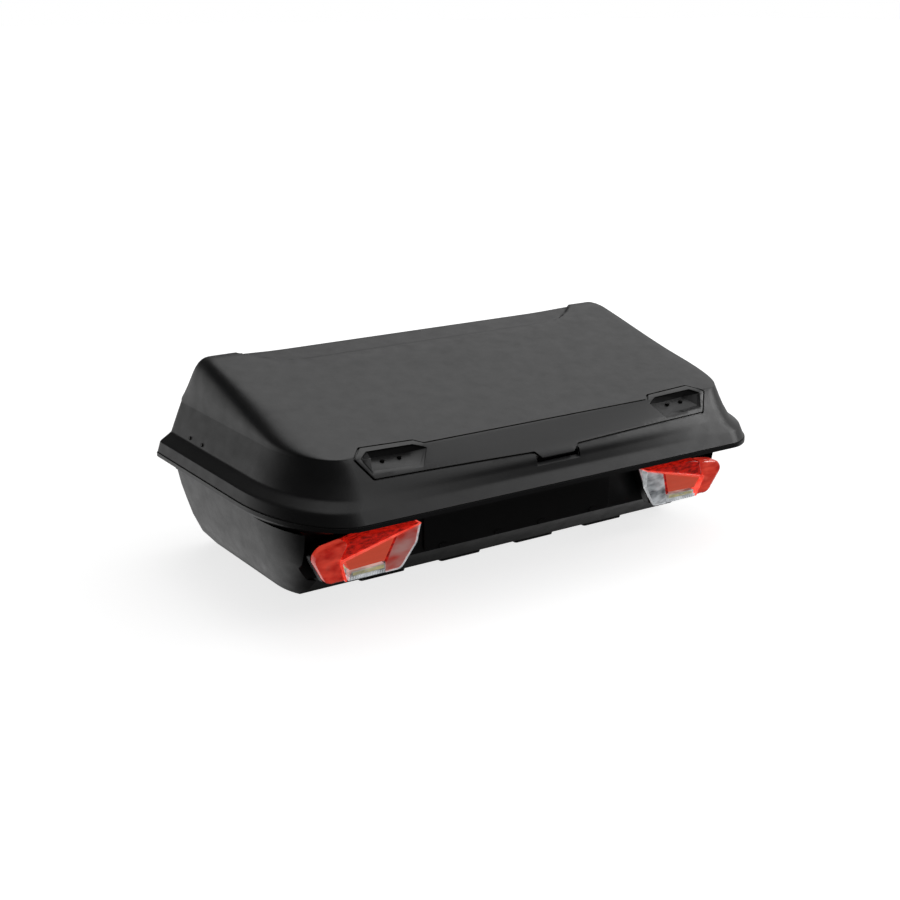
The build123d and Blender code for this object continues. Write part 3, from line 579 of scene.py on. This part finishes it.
def lamp_zone(name, side, corners, radii, proud, edge, material, replaced, back=None, step=6.0):
    """A lens zone: a domed face over an outline of (x, z), with a rim that runs back to the housing."""
    outline = rounded(corners, radii)
    n = len(outline)
    low = [min(p[k] for p in outline) for k in (0, 1)]
    high = [max(p[k] for p in outline) for k in (0, 1)]

    def depth_in(p):
        nearest = 1e9
        for i in range(n):
            a, b = outline[i], outline[(i + 1) % n]
            ab = b - a
            t = max(0.0, min(1.0, (p - a).dot(ab) / max(ab.length_squared, 1e-9)))
            nearest = min(nearest, (p - a - ab * t).length)
        return nearest

    inside = []
    for i in range(1, int((high[0] - low[0]) / step) + 1):
        for j in range(1, int((high[1] - low[1]) / step) + 1):
            inside.append(Vector((low[0] + step * i, low[1] + step * j)))
    for shrink in (0.12, 0.35, 0.7):
        for i in range(n):
            before, here, after = outline[i - 1], outline[i], outline[(i + 1) % n]
            tangent = (after - before).normalized()
            inside.append(here + Vector((-tangent.y, tangent.x)) * edge * shrink * (1 if turns_left(outline) else -1))
    edges = [(i, (i + 1) % n) for i in range(n)]
    places, _, triangles, *_ = delaunay_2d_cdt(outline + inside, edges, [tuple(range(n))], 1, 0.001)
    points = []
    for p in places:
        q = min(1.0, depth_in(p) / edge)
        drop = edge * (1 - math.sqrt(max(0.0, 1 - (1 - q) ** 2)))
        points.append((side * p.x, lamp_front(p.y) - proud + drop * 0.8, p.y))
    count = len(points)
    back = LAMP_BACK if back is None else back
    points += [(side * p.x, back, p.y) for p in places]
    used = {}
    for face in triangles:
        for a, b in zip(face, list(face[1:]) + [face[0]]):
            used[(a, b)] = True
    faces = [tuple(face) for face in triangles] + [tuple(i + count for i in reversed(face)) for face in triangles]
    faces += [(b, a, a + count, b + count) for a, b in used if (b, a) not in used]
    obj = mesh_object(name, points, faces, material, 40.0)
    if replaced:
        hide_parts(replaced)
    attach(obj, "base")
    return obj


def turns_left(outline):
    return sum(a.x * b.y - b.x * a.y for a, b in zip(outline, outline[1:] + outline[:1])) > 0


for label, side in SIDES.items():
    lamp_zone(f"lens_end_{label}", side, [(520, 136), (507, 84), (551, 82.5), (585, 147), (567, 170), (500, 180)],
              [1, 1, 16, 14, 14, 20], 0.6, 10.0, red_acrylic, f"red_lens_{label}")
    lamp_zone(f"lens_band_{label}", side, [(325, 186), (520, 136), (502, 179.5), (465, 187)],
              [0.2, 1, 1, 12], 0.4, 5.0, band_acrylic, None)
    lamp_zone(f"lens_ridge_{label}", side, [(324.8, 187), (327, 183.5), (519, 131.5), (504, 83.5), (508.5, 83.5),
              (526, 136.5)], [0.2, 0.2, 5, 1, 1, 8], 3.2, 2.2, ridge_highlight_acrylic, None, step=12.0)
    lamp_zone(f"lens_reflector_{label}", side, [(389, 165.5), (411, 112), (498, 108.5), (511, 133)],
              [2, 2, 2, 3], -0.4, 1.5, reflex_red, f"retro_reflector_{label}", step=14.0)
    lamp_zone(f"lens_edge_{label}", side, [(384, 167), (405.5, 107), (411, 110), (390.5, 165)], [1, 1, 1, 1], 1.0, 1.8,
              band_acrylic, None, step=12.0)
    lamp_zone(f"lens_inner_{label}", side, [(327.5, 183), (332, 140), (366, 84.5), (407, 84), (406.5, 107),
              (385, 166)], [1, 8, 12, 1, 1, 1], 0.0, 5.0, clear_acrylic if side > 0 else fog_acrylic,
              "reverse_lens_right" if side > 0 else "fog_lens_left",
              SHALLOW_BACK)
    lamp_zone(f"lens_inner_edge_{label}", side, [(325, 184), (330, 140), (365, 82.8), (407, 82.4), (407, 86),
              (368, 86.5), (334, 141), (328, 184)], [0.2, 8, 12, 0.2, 0.2, 10, 8, 0.2], 0.9, 1.4, white_edge_highlight,
              None, SHALLOW_BACK, 12.0)
    lamp_zone(f"lens_strip_{label}", side, [(409, 105), (407, 82.6), (500, 82.6), (495, 103.5)], [1, 1, 1, 2], 2.4,
              3.0, clear_acrylic, f"strip_lens_{label}")
    lamp_zone(f"led_strip_{label}", side, [(413, 103.5), (412, 95), (491, 93.5), (492, 101.5)], [1, 1, 1, 1], 2.9, 1.5,
              led_amber, None, step=14.0)
    for k in range(15):
        x = 411.5 + 6.2 * k
        lamp_zone(f"strip_rib_{label}_{k}", side, [(x, 92), (x, 84.5), (x + 2.6, 84.4), (x + 2.6, 91.9)],
                  [0.4] * 4, 3.3, 0.8, white_edge_highlight, None, step=14.0)

# ---------------------------------------------------------------- floor, light and camera
floor_mesh = bpy.data.meshes.new("floor")
reach = 60.0
floor_mesh.from_pydata([(-reach, -reach, 0), (reach, -reach, 0), (reach, reach, 0), (-reach, reach, 0)],
                       [], [(0, 1, 2, 3)])
floor = bpy.data.objects.new("floor", floor_mesh)
bpy.context.collection.objects.link(floor)
floor_paint = Surface("floor_paint", (0.5, 0.5, 0.5, 1), 0.9)
# painted shade: the floor's glow drops from 1.0 beyond 3.5 m to 0.78 within 1 m of the middle, so the ground around
# the box reads darker and its real shadows show there
distance = floor_paint.add("ShaderNodeVectorMath", operation="LENGTH")
floor_paint.join(floor_paint.coords, distance.inputs[0])
floor_paint.shader.inputs["Emission Color"].default_value = (1, 1, 1, 1)
floor_paint.join(floor_paint.span(distance.outputs["Value"], 0.78, 1.0, 1.0, 3.5),
                 floor_paint.shader.inputs["Emission Strength"])
floor_mesh.materials.append(floor_paint.material)
floor.visible_glossy = False
floor.visible_diffuse = False


def softbox(name, place, target, width, height, power):
    """A rectangular soft light at place, turned towards target."""
    data = bpy.data.lights.new(name, "AREA")
    data.shape = "RECTANGLE"
    data.size, data.size_y, data.energy = width, height, power
    light = bpy.data.objects.new(name, data)
    light.location = place
    light.rotation_euler = (Vector(target) - Vector(place)).to_track_quat("-Z", "Y").to_euler()
    bpy.context.collection.objects.link(light)


softbox("key", (3.2, -1.5, 1.9), (0.3, -0.2, 0.3), 1.0, 1.0, 18)
softbox("top", (0.2, 0.3, 4.2), (0, 0, 0), 5.0, 5.0, 60)

# the studio around the box: soft white panels on a dark ground, as directions and sizes
PANELS = [  # direction, inner and outer edge as cosines, strength
    ((0.55, 0.42, 0.72), 0.95, 0.74, 0.86), ((0.70, -0.42, 0.58), 0.98, 0.84, 1.2),
    ((0.53, -0.55, 0.60), 0.97, 0.75, 0.10), ((-0.60, 0.79, -0.06), 0.99, 0.94, 0.7),
    ((-0.33, 0.86, -0.40), 0.95, 0.80, 0.85), ((0.85, 0.30, -0.20), 0.95, 0.70, 0.5)]
world = bpy.data.worlds.new("studio")
bpy.context.scene.world = world
world.use_nodes = True
sky = world.node_tree
background = sky.nodes["Background"]
direction = sky.nodes.new("ShaderNodeTexCoord")
total = None
for facing, inner, outer, strength in PANELS:
    dot = sky.nodes.new("ShaderNodeVectorMath")
    dot.operation = "DOT_PRODUCT"
    dot.inputs[1].default_value = Vector(facing).normalized()
    sky.links.new(direction.outputs["Generated"], dot.inputs[0])
    fade = sky.nodes.new("ShaderNodeMapRange")
    fade.interpolation_type = "SMOOTHSTEP"
    for socket, number in (("From Min", outer), ("From Max", inner), ("To Min", 0.0), ("To Max", strength)):
        fade.inputs[socket].default_value = number
    sky.links.new(dot.outputs["Value"], fade.inputs["Value"])
    join = sky.nodes.new("ShaderNodeMath")
    join.operation = "MAXIMUM"
    join.inputs[1].default_value = 0.05
    sky.links.new(fade.outputs["Result"], join.inputs[0])
    if total:
        sky.links.new(total, join.inputs[1])
    total = join.outputs["Value"]
light_path = sky.nodes.new("ShaderNodeLightPath")
seen = sky.nodes.new("ShaderNodeMix")
seen.data_type = "FLOAT"
sky.links.new(total, seen.inputs[2])
seen.inputs[3].default_value = 1.0
sky.links.new(light_path.outputs["Is Camera Ray"], seen.inputs[0])
sky.links.new(seen.outputs[0], background.inputs["Strength"])
background.inputs["Color"].default_value = (1, 1, 1, 1)

camera_data = bpy.data.cameras.new("camera")
camera_data.lens = 58.5
camera = bpy.data.objects.new("camera", camera_data)
camera.location = (-1.9468, -2.8095, 1.2873)
camera.rotation_euler = (math.radians(72.7), 0.0, math.radians(-33.9))
bpy.context.collection.objects.link(camera)
bpy.context.scene.camera = camera
bpy.context.scene.view_settings.view_transform = "Standard"
